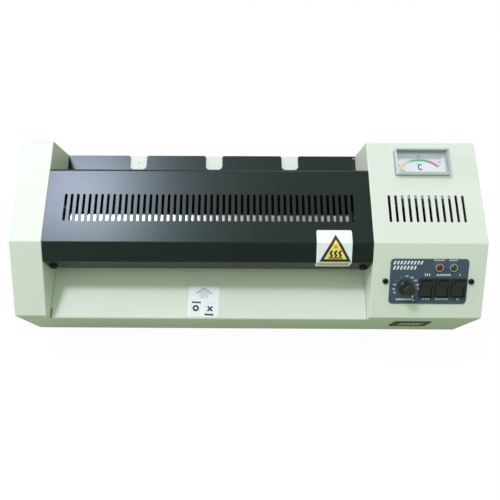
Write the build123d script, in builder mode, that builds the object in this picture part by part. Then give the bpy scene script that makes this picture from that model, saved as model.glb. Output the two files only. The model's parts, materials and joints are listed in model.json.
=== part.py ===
from build123d import *
import os
from math import atan2, cos, pi, sin, sqrt, tan

# Desktop pouch laminator: two sheet-metal end casings joined by a feed table, a slotted
# cover and an exit plate, with two heated and two pulling rollers between side frames.
# +X runs along the rollers to the control end, +Y towards the exit, +Z up. The origin is
# the middle of the footprint on the surface that the machine stands on.

os.makedirs("parts", exist_ok=True)

# ---------------------------------------------------------------- driving dimensions (mm)
WIDTH = 500.0
DEPTH = 200.0
TOP_Z = 121.0            # top of the casings and of the cover
NIP_Z = 69.0             # level of the feed table, the roller nips and the exit plate
FOOT_H = 7.0
SHEET = 1.2              # steel sheet of casings, table, pan and exit plate
BEND_R = 2.0             # outside radius of the sheet bends
EDGE_R = 0.9             # rounding of the casings' side edges

THROAT_LEFT = -216.0     # inner wall of the narrow left casing
THROAT_RIGHT = 131.0     # inner wall of the wide control casing
SIDE_GAP = 0.3           # between the casings and the sheets that lie between them

FRONT_Y = -DEPTH / 2
REAR_Y = DEPTH / 2
RIDGE_Y = -29.0          # bend between the flat top and the front slope
FRONT_TOP_Z = 81.0       # foot of the front slope
REAR_TOP_Y = 89.0        # the casings lean back from here to the rear wall
SLOPE = atan2(TOP_Z - FRONT_TOP_Z, RIDGE_Y - FRONT_Y)

COVER_SHEET = 1.0
COVER_BENDS = (3.0, 2.0, 1.5)   # outside radii: rear bend, ridge and front bend
COVER_BACK_Y = 55.5
COVER_SLOPE = 21.1       # length of the cover's sloping part
COVER_FLANGE = 24.4      # drop of its front flange
COVER_REAR_FLANGE = 12.0
SLOT_W = 3.0
SLOT_L = 31.0
SLOT_Y = 9.9             # middle of the rows of slots
COVER_SLOTS = 48
COVER_SLOT_PITCH = 6.51
COVER_SLOT_FIRST = -195.1
VENT_SLOTS = 12
VENT_SLOT_PITCH = 7.14
VENT_SLOT_FIRST = 150.7

HOT_Y = -15.0            # axes of the heated and of the pulling roller pairs
PULL_Y = 35.0
GEAR_MODULE = 1.0
ROLLER_TEETH = 28
IDLER_TEETH = 22
PINION_TEETH = 18
NIP_GAP = 0.3
ROLLER_LOW = -205.0      # ends of the silicone sleeves
ROLLER_HIGH = 120.0
CORE_R = 9.0
SHAFT_R = 5.0
RUN = 0.05               # radial running clearance

FRAME_T = 2.5            # side frames that carry the rollers
FRAME_LEFT = -224.0
FRAME_RIGHT = 134.0
FRAME_LOW_Y = -44.0
FRAME_HIGH_Y = 60.0
FRAME_TOP_Z = 110.0
FLANGE_W = 14.0
BUSH_R = 7.0
BUSH_OUT = 10.5
GEAR_X = 149.0
GEAR_W = 8.0

KNOB_X, KNOB_S = 166.4, 47.0
SWITCH_X = (188.7, 205.6, 222.5)
SWITCH_S = 48.1
LED_X = (200.0, 214.7)
LED_S = 25.2
PANEL = (149.6, 231.4, 16.4, 65.2)   # x low, x high, then distances down the slope
PANEL_T = 0.8
METER = (159.8, 218.6, 48.2, 77.4)   # x low, x high, y low, y high
METER_H = 9.0
METER_PIVOT = (189.6, 41.2)

# ---------------------------------------------------------------- derived places
PAN_TOP = FOOT_H + SHEET
SPAN_LEFT = THROAT_LEFT + SIDE_GAP
SPAN_RIGHT = THROAT_RIGHT - SIDE_GAP
SPAN = SPAN_RIGHT - SPAN_LEFT
SPAN_MID = (SPAN_LEFT + SPAN_RIGHT) / 2
PAIR = GEAR_MODULE * ROLLER_TEETH            # axis distance of a roller pair
ROLLER_R = (PAIR - NIP_GAP) / 2
UPPER_Z = NIP_Z + PAIR / 2
LOWER_Z = NIP_Z - PAIR / 2
IDLER_Y = (HOT_Y + PULL_Y) / 2
PINION_Y = HOT_Y - GEAR_MODULE * (ROLLER_TEETH + PINION_TEETH) / 2
FRAME_MID = {"left": FRAME_LEFT + FRAME_T / 2, "right": FRAME_RIGHT + FRAME_T / 2}
OUTWARD = {"left": -1, "right": 1}
FRAME_INNER = (FRAME_LEFT + FRAME_T, FRAME_RIGHT)   # faces that look at the rollers
SPRING_OFF = 6.4                                     # springs stand outside the plates

slope_plane = Plane(
    origin=(0, RIDGE_Y, TOP_Z), x_dir=(1, 0, 0), z_dir=(0, -sin(SLOPE), cos(SLOPE))
)
casing_outline = [
    (FRONT_Y, FOOT_H),
    (FRONT_Y, FRONT_TOP_Z),
    (RIDGE_Y, TOP_Z),
    (REAR_TOP_Y, TOP_Z),
    (REAR_Y, NIP_Z),
    (REAR_Y, FOOT_H),
]


def save(piece, name):
    """Label a finished piece and write its STEP file."""
    piece.part.label = name
    export_step(piece.part, f"parts/{name}.step")


def on_slope(x, distance, height):
    """Point on the front slope: distance down it from the ridge, height out of it."""
    return slope_plane.from_local_coords(Vector(x, -distance, height))


def bent_sheet(points, x_low, x_high, thickness, radius, side=Side.RIGHT):
    """A sheet bent along a (y, z) line, with one radius or a list of them, one per bend."""
    with BuildPart() as sheet:
        with BuildSketch(Plane.YZ.offset(x_low)):
            with BuildLine():
                FilletPolyline(*points, radius=radius)
                offset(amount=thickness, side=side)
            make_face()
        extrude(amount=x_high - x_low)
    return sheet.part


def rod(x_low, x_high, y, z, radius):
    """A round bar along X."""
    with BuildPart() as bar:
        with BuildSketch(Plane.YZ.offset(x_low)):
            with Locations((y, z)):
                Circle(radius)
        extrude(amount=x_high - x_low)
    return bar.part


# ---------------------------------------------------------------- end casings
WINDOW = (FRAME_LOW_Y + 2, FRAME_HIGH_Y - 2, 14.0, 109.0)   # y low, y high, z low, z high


def casing_shell(x_low, x_high, inner_wall_x):
    """Hollow sheet-metal casing, open below, with a window for the roller shafts."""
    with BuildPart() as shell:
        with BuildSketch(Plane.YZ.offset(x_low)):
            Polygon(*casing_outline, align=None)
        extrude(amount=x_high - x_low)
        bends = shell.edges().filter_by(Axis.X).filter_by_position(
            Axis.Z, NIP_Z + 1, TOP_Z + 1
        )
        fillet(bends, BEND_R)
        rims = shell.faces().filter_by(Axis.X).edges().filter_by_position(
            Axis.Z, NIP_Z - 1, TOP_Z + 1
        )
        fillet(rims, EDGE_R)
        with BuildSketch(Plane.YZ.offset(x_low + SHEET)):
            Polygon(*casing_outline, align=None)
            offset(amount=-SHEET, kind=Kind.INTERSECTION)
            with Locations((0, FOOT_H)):
                Rectangle(DEPTH - 2 * SHEET, 4 * SHEET)
        extrude(amount=x_high - x_low - 2 * SHEET, mode=Mode.SUBTRACT)
        with BuildSketch(Plane.YZ.offset(inner_wall_x)):
            with Locations(((WINDOW[0] + WINDOW[1]) / 2, (WINDOW[2] + WINDOW[3]) / 2)):
                RectangleRounded(WINDOW[1] - WINDOW[0], WINDOW[3] - WINDOW[2], 4)
        extrude(amount=3 * SHEET, both=True, mode=Mode.SUBTRACT)
        with Locations((inner_wall_x, 0, FOOT_H)):
            Box(4 * SHEET, DEPTH - 2 * SHEET, 2 * SHEET + 0.4, mode=Mode.SUBTRACT)
    return shell.part


with BuildPart() as left_casing:
    add(casing_shell(-WIDTH / 2, THROAT_LEFT, THROAT_LEFT))
save(left_casing, "left_casing")

INLET_X, INLET_Z = 214.0, 34.0
INLET_W, INLET_H = 27.0, 20.0
FUSE_X = 176.0
FUSE_R = 6.0
SWITCH_CUT_W, SWITCH_CUT_L = 13.2, 19.0
LED_HOLE_R = 4.0
KNOB_HOLE_R = 5.0
METER_CUT_W, METER_CUT_L = 56.4, 26.8
meter_mid = ((METER[0] + METER[1]) / 2, (METER[2] + METER[3]) / 2)
slots_mid = (VENT_SLOT_FIRST + VENT_SLOT_PITCH * (VENT_SLOTS - 1) / 2, SLOT_Y)

with BuildPart() as right_casing:
    add(casing_shell(THROAT_RIGHT, WIDTH / 2, THROAT_RIGHT))
    with BuildSketch(Plane.XY.offset(TOP_Z)):
        with Locations(slots_mid):
            with GridLocations(VENT_SLOT_PITCH, 0, VENT_SLOTS, 1):
                SlotOverall(SLOT_L, SLOT_W, rotation=90)
        with Locations(meter_mid):
            Rectangle(METER_CUT_W + 0.4, METER_CUT_L + 0.4)
    extrude(amount=-3 * SHEET, mode=Mode.SUBTRACT)
    with BuildSketch(slope_plane):
        with Locations(*[(x, -SWITCH_S) for x in SWITCH_X]):
            Rectangle(SWITCH_CUT_W + 0.2, SWITCH_CUT_L + 0.2)
        with Locations(*[(x, -LED_S) for x in LED_X]):
            Circle(LED_HOLE_R + 0.1)
        with Locations((KNOB_X, -KNOB_S)):
            Circle(KNOB_HOLE_R + 0.1)
    extrude(amount=-3 * SHEET, mode=Mode.SUBTRACT)
    with Locations((INLET_X, REAR_Y, INLET_Z)):
        Box(INLET_W + 0.4, 4 * SHEET, INLET_H + 0.4, mode=Mode.SUBTRACT)
    with Locations((FUSE_X, REAR_Y, INLET_Z)):
        Cylinder(FUSE_R + 0.1, 4 * SHEET, rotation=(90, 0, 0), mode=Mode.SUBTRACT)
save(right_casing, "right_casing")

# ---------------------------------------------------------------- pan, table, rear panel
BOARD = (166.0, 240.0, 2.0, 60.0)     # x low, x high, y low, y high
BOARD_Z = 20.0
BOARD_T = 1.6
PILLAR_IN = 4.0
board_mid = ((BOARD[0] + BOARD[1]) / 2, (BOARD[2] + BOARD[3]) / 2)
pillar_grid = (BOARD[1] - BOARD[0] - 2 * PILLAR_IN, BOARD[3] - BOARD[2] - 2 * PILLAR_IN)

with BuildPart() as base_pan:
    with BuildSketch(Plane.XY.offset(FOOT_H)):
        Rectangle(WIDTH - 2 * SHEET - 0.2, DEPTH - 2 * SHEET - 0.2)
    extrude(amount=SHEET)
    with BuildSketch(Plane.XY.offset(PAN_TOP)):
        with Locations(board_mid):
            with GridLocations(*pillar_grid, 2, 2):
                Circle(3)
    extrude(amount=BOARD_Z - PAN_TOP)
    with BuildSketch(Plane.XY.offset(FOOT_H)):
        with Locations((190, -40)):
            with GridLocations(9, 0, 8, 1):
                SlotOverall(34, 3, rotation=90)
    extrude(amount=SHEET, mode=Mode.SUBTRACT)
save(base_pan, "base_pan")

FOOT_R = 10.0
with BuildPart() as rubber_feet:
    with BuildSketch():
        with GridLocations(440, 160, 2, 2):
            Circle(FOOT_R)
    extrude(amount=FOOT_H, taper=4)
    fillet(rubber_feet.faces().group_by(Axis.Z)[0].edges(), 1.0)
save(rubber_feet, "rubber_feet")

TABLE_END_Y = -33.0
TABLE_LIP = 12.0
table_line = [
    (FRONT_Y, FOOT_H),
    (FRONT_Y, NIP_Z),
    (TABLE_END_Y, NIP_Z),
    (TABLE_END_Y, NIP_Z - TABLE_LIP),
]
RELIEF_W, RELIEF_L = 1.1, 11.5    # slit beside the left casing that relieves the front bend
with BuildPart() as front_table:
    add(bent_sheet(table_line, SPAN_LEFT, SPAN_RIGHT, SHEET, BEND_R))
    with Locations((SPAN_LEFT, FRONT_Y, NIP_Z)):
        Box(2 * RELIEF_W, 2 * RELIEF_L, 3 * BEND_R, mode=Mode.SUBTRACT)
save(front_table, "front_table")

REST_Y = 61.0
rear_line = [
    (REAR_Y, FOOT_H),
    (REAR_Y, NIP_Z - SHEET),
    (REST_Y, NIP_Z - SHEET),
]
with BuildPart() as rear_panel:
    add(bent_sheet(rear_line, SPAN_LEFT, SPAN_RIGHT, SHEET, 1.5, Side.LEFT))
save(rear_panel, "rear_panel")

EXIT_START_Y = 56.0
EXIT_END_Y = 99.4
NOTCH_W = 20.0
NOTCH_X = -39.7          # middle one of three
NOTCH_END_Y = 81.0
NOTCH_PITCH = 91.4
NOTCH_R = 5.0
MOUTH_R = 2.5
with BuildPart() as exit_plate:
    with BuildSketch(Plane.XY.offset(NIP_Z - SHEET)) as exit_outline:
        with Locations((SPAN_MID, (EXIT_START_Y + EXIT_END_Y) / 2)):
            Rectangle(SPAN, EXIT_END_Y - EXIT_START_Y)
        with Locations((NOTCH_X, EXIT_END_Y)):
            with GridLocations(NOTCH_PITCH, 0, 3, 1):
                Rectangle(NOTCH_W, 2 * (EXIT_END_Y - NOTCH_END_Y), mode=Mode.SUBTRACT)
        fillet(exit_outline.vertices().filter_by_position(Axis.Y, 75, 85), NOTCH_R)
        mouths = exit_outline.vertices().group_by(Axis.Y)[-1].sort_by(Axis.X)[1:-1]
        fillet(mouths, MOUTH_R)
    extrude(amount=SHEET)
save(exit_plate, "exit_plate")

# ---------------------------------------------------------------- cover and what holds it
cover_line = [
    (COVER_BACK_Y, TOP_Z - COVER_REAR_FLANGE),
    (COVER_BACK_Y, TOP_Z),
    (RIDGE_Y, TOP_Z),
    (RIDGE_Y - COVER_SLOPE * cos(SLOPE), TOP_Z - COVER_SLOPE * sin(SLOPE)),
    (RIDGE_Y - COVER_SLOPE * cos(SLOPE), TOP_Z - COVER_SLOPE * sin(SLOPE) - COVER_FLANGE),
]
COVER_FRONT_Y = cover_line[3][0]
COVER_BOTTOM_Z = cover_line[4][1]
COVER_CORNER = 1.5
cover_slots_mid = (COVER_SLOT_FIRST + COVER_SLOT_PITCH * (COVER_SLOTS - 1) / 2, SLOT_Y)
with BuildPart() as top_cover:
    add(bent_sheet(cover_line, SPAN_LEFT, SPAN_RIGHT, COVER_SHEET, COVER_BENDS, Side.LEFT))
    chamfer(
        top_cover.edges().filter_by(Axis.Y).group_by(Axis.Z)[0], COVER_CORNER
    )
    with BuildSketch(Plane.XY.offset(TOP_Z)):
        with Locations(cover_slots_mid):
            with GridLocations(COVER_SLOT_PITCH, 0, COVER_SLOTS, 1):
                SlotOverall(SLOT_L, SLOT_W, rotation=90)
    extrude(amount=-2 * COVER_SHEET, mode=Mode.SUBTRACT)
save(top_cover, "top_cover")

RAIL_W = 11.0
RAIL_TOP = TOP_Z - COVER_SHEET
RAIL_END_Y = 50.0
TAB_Y = COVER_FRONT_Y + COVER_SHEET
TAB_Z = COVER_BOTTOM_Z + 1.0
SCREW_IN = 6.3
SCREW_Z = 95.5
RAIL_START_Y = RIDGE_Y + 4
RAIL_LEG_Z = 110.0
RAIL_ARM_Z = 98.0
RAIL_ARM_TOP = 109.0


def block(x, y, z):
    """A box between two corners, each span given as (low, high)."""
    centre = Pos((x[0] + x[1]) / 2, (y[0] + y[1]) / 2, (z[0] + z[1]) / 2)
    return centre * Box(x[1] - x[0], y[1] - y[0], z[1] - z[0], mode=Mode.PRIVATE)


def cover_rail(wall, inward):
    """Angle under one edge of the cover, with an arm to the tab behind its flange."""
    thin = sorted((wall, wall + inward * SHEET))
    wide = sorted((wall, wall + inward * RAIL_W))
    with BuildPart() as rail:
        add(block(wide, (RAIL_START_Y, RAIL_END_Y), (RAIL_TOP - SHEET, RAIL_TOP)))
        add(block(thin, (RAIL_START_Y, RAIL_END_Y), (RAIL_LEG_Z, RAIL_TOP)))
        add(block(thin, (RIDGE_Y - 5, RAIL_START_Y), (RAIL_ARM_TOP, TOP_Z - 5)))
        add(block(thin, (TAB_Y, RIDGE_Y - 2), (RAIL_ARM_Z, RAIL_ARM_TOP)))
        add(block(wide, (TAB_Y, TAB_Y + SHEET), (TAB_Z, RAIL_ARM_TOP)))
    return rail.part


with BuildPart() as cover_rails:
    add(cover_rail(THROAT_LEFT, 1))
    add(cover_rail(THROAT_RIGHT, -1))
save(cover_rails, "cover_rails")

HEAD_R = 3.0             # panel screws
HEAD_H = 2.2
COVER_HEAD_R = 4.2
COVER_HEAD_H = 3.2


def cross_recess(size, depth):
    """The cross in a screw head, cut from z = 0 downwards."""
    with BuildPart() as recess:
        with BuildSketch():
            Rectangle(size, size / 4)
            Rectangle(size / 4, size)
        extrude(amount=-depth)
    return recess.part


def pan_head(radius, height):
    """Domed cross-head screw head standing on z = 0."""
    with BuildPart() as head:
        Cylinder(radius, height, align=(Align.CENTER, Align.CENTER, Align.MIN))
        fillet(head.edges().group_by(Axis.Z)[-1], height * 0.6)
        add(cross_recess(radius * 1.2, height * 0.6).moved(Pos(0, 0, height)), mode=Mode.SUBTRACT)
    return head.part


with BuildPart() as cover_screws:
    for x in (SPAN_LEFT + SCREW_IN, SPAN_RIGHT - SCREW_IN):
        front = Plane(origin=(x, COVER_FRONT_Y, SCREW_Z), x_dir=(1, 0, 0), z_dir=(0, -1, 0))
        add(pan_head(COVER_HEAD_R, COVER_HEAD_H).moved(front.location))
save(cover_screws, "cover_screws")

# ---------------------------------------------------------------- side frames and ties
SLOT_TOP_Z = 104.0


def side_frame(side):
    """Flanged plate with round seats for the lower bushes and slots for the upper ones."""
    low_x = FRAME_MID[side] - FRAME_T / 2
    flange_x = FRAME_MID[side] + OUTWARD[side] * FLANGE_W / 2
    mid_y = (FRAME_LOW_Y + FRAME_HIGH_Y) / 2
    length = FRAME_HIGH_Y - FRAME_LOW_Y
    with BuildPart() as frame:
        with Locations((low_x + FRAME_T / 2, mid_y, (PAN_TOP + FRAME_TOP_Z) / 2)):
            Box(FRAME_T, length, FRAME_TOP_Z - PAN_TOP)
        for level in (PAN_TOP + FRAME_T / 2, FRAME_TOP_Z - FRAME_T / 2):
            with Locations((flange_x, mid_y, level)):
                Box(FLANGE_W, length, FRAME_T)
        with BuildSketch(Plane.YZ.offset(low_x)):
            with Locations((HOT_Y, LOWER_Z), (PULL_Y, LOWER_Z), (HOT_Y, UPPER_Z), (PULL_Y, UPPER_Z)):
                Circle(BUSH_R + 0.1)
            slot_mid = (UPPER_Z + SLOT_TOP_Z) / 2
            with Locations((HOT_Y, slot_mid), (PULL_Y, slot_mid)):
                Rectangle(2 * (BUSH_R + 0.1), SLOT_TOP_Z - UPPER_Z)
        extrude(amount=FRAME_T, mode=Mode.SUBTRACT)
        screw_x = FRAME_MID[side] + OUTWARD[side] * SPRING_OFF
        with BuildSketch(Plane.XY.offset(FRAME_TOP_Z)):
            with Locations((screw_x, HOT_Y), (screw_x, PULL_Y)):
                Circle(2.6)
        extrude(amount=-FRAME_T, mode=Mode.SUBTRACT)
    return frame.part


with BuildPart() as left_side_frame:
    add(side_frame("left"))
save(left_side_frame, "left_side_frame")

with BuildPart() as right_side_frame:
    add(side_frame("right"))
save(right_side_frame, "right_side_frame")

TIE_R = 4.0
with BuildPart() as tie_rods:
    for y, z in ((-37.0, 22.0), (53.0, 22.0), (IDLER_Y, 26.0)):
        add(rod(*FRAME_INNER, y, z, TIE_R))
save(tie_rods, "tie_rods")

GUIDE_GAP = 1.6
GUIDE_T = 1.0
GUIDE_W = 32.0
with BuildPart() as pouch_guides:
    for level in (NIP_Z + GUIDE_GAP + GUIDE_T / 2, NIP_Z - GUIDE_GAP - GUIDE_T / 2):
        with Locations(((FRAME_INNER[0] + FRAME_INNER[1]) / 2, IDLER_Y, level)):
            Box(FRAME_INNER[1] - FRAME_INNER[0], GUIDE_W, GUIDE_T)
save(pouch_guides, "pouch_guides")

# ---------------------------------------------------------------- rollers
SHAFT_LOW = -237.0
SHAFT_HIGH = GEAR_X + GEAR_W + 1.5

rollers = {
    "lower_hot": (HOT_Y, LOWER_Z),
    "upper_hot": (HOT_Y, UPPER_Z),
    "lower_pull": (PULL_Y, LOWER_Z),
    "upper_pull": (PULL_Y, UPPER_Z),
}
for roller, (y, z) in rollers.items():
    with BuildPart() as core:
        add(rod(SHAFT_LOW, SHAFT_HIGH, y, z, SHAFT_R))
        add(rod(ROLLER_LOW - 2, ROLLER_HIGH + 2, y, z, CORE_R))
    save(core, f"{roller}_core")
    with BuildPart() as sleeve:
        add(rod(ROLLER_LOW, ROLLER_HIGH, y, z, ROLLER_R))
        chamfer(sleeve.edges().filter_by(GeomType.CIRCLE), 0.6)
        add(rod(ROLLER_LOW, ROLLER_HIGH, y, z, CORE_R), mode=Mode.SUBTRACT)
    save(sleeve, f"{roller}_sleeve")

# ---------------------------------------------------------------- gears
PRESSURE_ANGLE = pi / 9
BACKLASH = 0.16          # taken off each tooth, along the pitch circle


def involute(angle):
    return tan(angle) - angle


def tooth_half_angle(radius, teeth):
    """Half the angle that a tooth fills at a radius."""
    pitch_r = GEAR_MODULE * teeth / 2
    base_r = pitch_r * cos(PRESSURE_ANGLE)
    at_pitch = (pi * GEAR_MODULE / 2 - BACKLASH) / (2 * pitch_r)
    if radius <= base_r:
        return at_pitch + involute(PRESSURE_ANGLE)
    local = atan2(sqrt(radius**2 - base_r**2), base_r)
    return at_pitch + involute(PRESSURE_ANGLE) - involute(local)


def gear(teeth, y, z, x_low, width, first_tooth, bore_r):
    """Spur gear with involute teeth; one tooth points at the angle first_tooth."""
    pitch_r = GEAR_MODULE * teeth / 2
    root_r = pitch_r - 1.25 * GEAR_MODULE
    tip_r = pitch_r + GEAR_MODULE
    base_r = pitch_r * cos(PRESSURE_ANGLE)
    flank_start = max(root_r, base_r)
    radii = [root_r - 0.3] + [flank_start + (tip_r - flank_start) * i / 4 for i in range(5)]
    right = [(r * cos(tooth_half_angle(r, teeth)), -r * sin(tooth_half_angle(r, teeth))) for r in radii]
    left = [(px, -py) for px, py in reversed(right)]
    with BuildPart() as wheel:
        with BuildSketch(Plane.YZ.offset(x_low)):
            with Locations((y, z)):
                Circle(root_r)
                with PolarLocations(0, teeth, start_angle=first_tooth):
                    Polygon(*right, *left, align=None)
                Circle(bore_r, mode=Mode.SUBTRACT)
        extrude(amount=width)
    return wheel.part


half_pitch = 180.0 / ROLLER_TEETH
for roller, (y, z) in rollers.items():
    turned = 0.0 if z == LOWER_Z else half_pitch
    with BuildPart() as roller_gear:
        add(gear(ROLLER_TEETH, y, z, GEAR_X, GEAR_W, turned, SHAFT_R))
    save(roller_gear, f"{roller}_gear")

IDLER_PIN_R = 3.0
with BuildPart() as idler_gear:
    add(gear(IDLER_TEETH, IDLER_Y, LOWER_Z, GEAR_X, GEAR_W, 180.0 / IDLER_TEETH, IDLER_PIN_R + RUN))
save(idler_gear, "idler_gear")

with BuildPart() as idler_pin:
    add(rod(FRAME_RIGHT + FRAME_T, GEAR_X - 0.5, IDLER_Y, LOWER_Z, IDLER_PIN_R + 2))
    add(rod(FRAME_RIGHT + FRAME_T, GEAR_X + GEAR_W + 0.5, IDLER_Y, LOWER_Z, IDLER_PIN_R))
    add(rod(GEAR_X + GEAR_W + 0.5, GEAR_X + GEAR_W + 2, IDLER_Y, LOWER_Z, IDLER_PIN_R + 1.5))
save(idler_pin, "idler_pin")

# ---------------------------------------------------------------- motor
MOTOR_R = 25.0
MOTOR_L = 38.0
MOTOR_DROP = 15.0        # the output shaft stands this far above the motor's middle
BRACKET_X = 161.0
BRACKET_T = 1.5
BOSS_R = 6.0
OUTPUT_R = 3.0
BOSS_END_X = GEAR_X + GEAR_W + 1.0

with BuildPart() as drive_pinion:
    add(gear(PINION_TEETH, PINION_Y, LOWER_Z, GEAR_X, GEAR_W, 180.0 / PINION_TEETH, OUTPUT_R))
    add(rod(GEAR_X - 1, BRACKET_X + 8, PINION_Y, LOWER_Z, OUTPUT_R))
save(drive_pinion, "drive_pinion")

motor_face = BRACKET_X + BRACKET_T
with BuildPart() as drive_motor:
    add(rod(motor_face, motor_face + MOTOR_L, PINION_Y, LOWER_Z - MOTOR_DROP, MOTOR_R))
    fillet(drive_motor.edges().filter_by(GeomType.CIRCLE).sort_by(Axis.X)[-1], 3)
    add(rod(BOSS_END_X, motor_face, PINION_Y, LOWER_Z, BOSS_R))
    add(rod(BOSS_END_X, motor_face + 8, PINION_Y, LOWER_Z, OUTPUT_R + RUN), mode=Mode.SUBTRACT)
save(drive_motor, "drive_motor")

with BuildPart() as motor_bracket:
    with Locations((BRACKET_X + BRACKET_T / 2, PINION_Y, (PAN_TOP + 68) / 2)):
        Box(BRACKET_T, 56, 68 - PAN_TOP)
    with Locations((BRACKET_X + 8, PINION_Y, PAN_TOP + BRACKET_T / 2)):
        Box(16, 56, BRACKET_T)
    add(rod(BRACKET_X, motor_face, PINION_Y, LOWER_Z, BOSS_R + 0.2), mode=Mode.SUBTRACT)
save(motor_bracket, "motor_bracket")

# ---------------------------------------------------------------- bushes and pressure
with BuildPart() as roller_bushes:
    for side in ("left", "right"):
        inner = FRAME_MID[side] - OUTWARD[side] * FRAME_T / 2
        outer = FRAME_MID[side] + OUTWARD[side] * (FRAME_T / 2 + BUSH_OUT)
        lip = inner - OUTWARD[side] * 1.5
        for y, z in rollers.values():
            add(rod(min(inner, outer), max(inner, outer), y, z, BUSH_R))
            add(rod(min(inner, lip), max(inner, lip), y, z, BUSH_R + 2))
            add(rod(min(lip, outer), max(lip, outer), y, z, SHAFT_R + RUN), mode=Mode.SUBTRACT)
save(roller_bushes, "roller_bushes")

WIRE = 1.2
COIL_R = 4.2
COIL_TURNS = 4
spring_low = UPPER_Z + BUSH_R + WIRE / 2 + 0.1
WASHER_Z = 104.0
spring_high = WASHER_Z - WIRE / 2 - 0.1
spring_places = [
    (FRAME_MID[side] + OUTWARD[side] * SPRING_OFF, y)
    for side in ("left", "right")
    for y in (HOT_Y, PULL_Y)
]
with BuildPart() as pressure_springs:
    for x, y in spring_places:
        with BuildLine() as coil:
            Helix(
                (spring_high - spring_low) / COIL_TURNS,
                spring_high - spring_low,
                COIL_R,
                center=(x, y, spring_low),
            )
        with BuildSketch(Plane(origin=coil.line @ 0, z_dir=coil.line % 0)):
            Circle(WIRE / 2)
        sweep(path=coil.line)
save(pressure_springs, "pressure_springs")

with BuildPart() as pressure_screws:
    for x, y in spring_places:
        for radius, low, high in ((5.0, WASHER_Z, WASHER_Z + 1), (2.4, WASHER_Z, 111), (4.2, 110, 114)):
            with Locations((x, y, low)):
                Cylinder(radius, high - low, align=(Align.CENTER, Align.CENTER, Align.MIN))
save(pressure_screws, "pressure_screws")

# ---------------------------------------------------------------- heating
SHOE_W = 28.0
SHOE_CLEAR = 1.35
SHOE_TOP = UPPER_Z + 25.5
ELEMENT_Z = UPPER_Z + 20.3
ELEMENT_R = 3.3


def mirrored(z):
    """The same height on the other side of the nip."""
    return 2 * NIP_Z - z


with BuildPart() as heater_shoes:
    for level in (UPPER_Z, LOWER_Z):
        far = SHOE_TOP if level == UPPER_Z else mirrored(SHOE_TOP)
        near = level + (far - level) * 0.24
        element = ELEMENT_Z if level == UPPER_Z else mirrored(ELEMENT_Z)
        with BuildSketch(Plane.YZ.offset(FRAME_INNER[0])):
            with Locations((HOT_Y, (near + far) / 2)):
                Rectangle(SHOE_W, abs(far - near))
            with Locations((HOT_Y, level)):
                Circle(ROLLER_R + SHOE_CLEAR, mode=Mode.SUBTRACT)
            with Locations((HOT_Y, element)):
                Circle(ELEMENT_R + 0.2, mode=Mode.SUBTRACT)
        extrude(amount=FRAME_INNER[1] - FRAME_INNER[0])
save(heater_shoes, "heater_shoes")

with BuildPart() as heating_elements:
    for z in (ELEMENT_Z, mirrored(ELEMENT_Z)):
        add(rod(FRAME_INNER[0] + 1, FRAME_INNER[1] - 1, HOT_Y, z, ELEMENT_R))
save(heating_elements, "heating_elements")

REFLECTOR = (-192.0, 109.0)
REFLECTOR_T = 0.8
reflector_line = [
    (6.0, SHOE_TOP + REFLECTOR_T),
    (-40.0, SHOE_TOP + REFLECTOR_T),
    (-40.0, SHOE_TOP - 9),
]
with BuildPart() as heat_reflector:
    add(bent_sheet(reflector_line, *REFLECTOR, REFLECTOR_T, 1.2, Side.LEFT))
save(heat_reflector, "heat_reflector")

# ---------------------------------------------------------------- control board
with BuildPart() as control_board:
    with BuildSketch(Plane.XY.offset(BOARD_Z)):
        with Locations(board_mid):
            Rectangle(BOARD[1] - BOARD[0], BOARD[3] - BOARD[2])
            with GridLocations(*pillar_grid, 2, 2):
                Circle(1.2, mode=Mode.SUBTRACT)
    extrude(amount=BOARD_T)
save(control_board, "control_board")

board_blocks = [          # middle x, middle y, then width, depth, height of each part
    (188.0, 32.0, 32.0, 28.0, 26.0),
    (216.0, 44.0, 15.0, 19.0, 15.0),
    (216.0, 20.0, 15.0, 19.0, 15.0),
    (232.0, 30.0, 8.0, 40.0, 10.0),
]
board_cans = [(176.0, 10.0, 5.0, 14.0), (192.0, 10.0, 4.0, 12.0)]
with BuildPart() as board_parts:
    for x, y, wide, deep, high in board_blocks:
        with Locations((x, y, BOARD_Z + BOARD_T)):
            Box(wide, deep, high, align=(Align.CENTER, Align.CENTER, Align.MIN))
    for x, y, radius, high in board_cans:
        with Locations((x, y, BOARD_Z + BOARD_T)):
            Cylinder(radius, high, align=(Align.CENTER, Align.CENTER, Align.MIN))
save(board_parts, "board_parts")

# ---------------------------------------------------------------- control panel
panel_mid = ((PANEL[0] + PANEL[1]) / 2, -(PANEL[2] + PANEL[3]) / 2)
with BuildPart() as control_panel_plate:
    with BuildSketch(slope_plane):
        with Locations(panel_mid):
            RectangleRounded(PANEL[1] - PANEL[0], PANEL[3] - PANEL[2], 4)
        with Locations(*[(x, -SWITCH_S) for x in SWITCH_X]):
            Rectangle(SWITCH_CUT_W + 0.2, SWITCH_CUT_L + 0.2, mode=Mode.SUBTRACT)
        with Locations(*[(x, -LED_S) for x in LED_X]):
            Circle(LED_HOLE_R + 0.1, mode=Mode.SUBTRACT)
        with Locations((KNOB_X, -KNOB_S)):
            Circle(KNOB_HOLE_R + 0.1, mode=Mode.SUBTRACT)
    extrude(amount=PANEL_T)
save(control_panel_plate, "control_panel_plate")

PANEL_SCREW_X = (145.1, 235.4)
PANEL_SCREW_S = 40.7
with BuildPart() as panel_screws:
    for x in PANEL_SCREW_X:
        seat = slope_plane.location * Pos(x, -PANEL_SCREW_S, 0)
        add(pan_head(HEAD_R, HEAD_H).moved(seat))
save(panel_screws, "panel_screws")

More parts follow.
